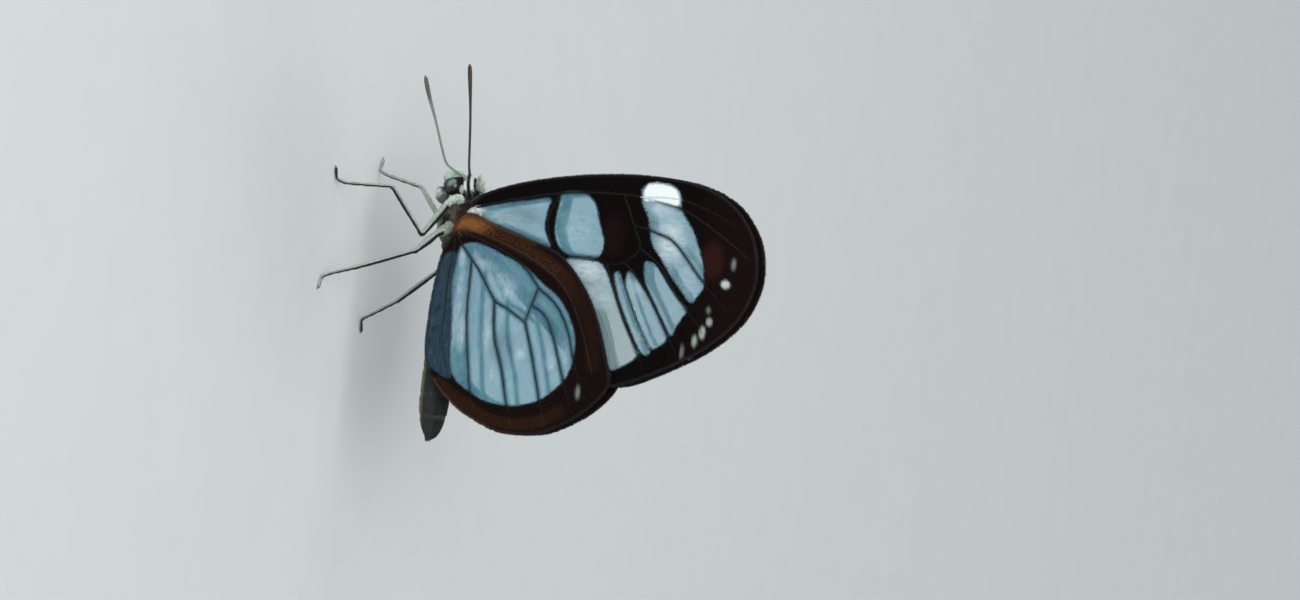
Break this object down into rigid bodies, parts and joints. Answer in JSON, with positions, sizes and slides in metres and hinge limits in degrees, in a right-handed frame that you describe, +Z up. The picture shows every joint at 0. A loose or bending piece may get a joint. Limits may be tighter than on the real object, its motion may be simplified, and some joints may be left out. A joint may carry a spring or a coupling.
{
  "type": "clearwing butterfly",
  "caption": "Life-size still model of a glasswing butterfly at rest, clear dark-edged wings closed over its back, standing on slender legs.",
  "frame": {"origin": "middle of the footprint of the whole animal, on the floor under its feet", "axes": "+Z up from the floor along the closed wings, -X the way the head points, +Y to the animal's right side"},
  "size_m": [0.0334, 0.0141, 0.0377],
  "materials": {
    "dark_scales": "dull black brown scales and short fur, with white lines on the head",
    "grey_scales": "grey brown fur with paler hairs",
    "pale_scales": "cream scales with a dark stripe along each leg",
    "dark_horn": "ringed horn with a slight sheen",
    "compound_eye": "smooth, dark and finely faceted",
    "wing_membrane": "thin glassy membrane inside bands of dark scales, brown on the hindwing"
  },
  "bodies": {
    "root": {"head": "dark_scales", "eye_left": "compound_eye", "eye_right": "compound_eye", "palp_left": "pale_scales", "palp_right": "pale_scales", "proboscis": "dark_horn", "antenna_left": "dark_horn", "antenna_right": "dark_horn", "thorax": "grey_scales", "abdomen": "dark_scales", "forewing_left": "wing_membrane", "forewing_right": "wing_membrane", "hindwing_left": "wing_membrane", "hindwing_right": "wing_membrane", "leg_fore_left": "pale_scales", "leg_fore_right": "pale_scales", "leg_mid_left": "pale_scales", "leg_mid_right": "pale_scales", "leg_hind_left": "pale_scales", "leg_hind_right": "pale_scales"}
  },
  "joints": []
}
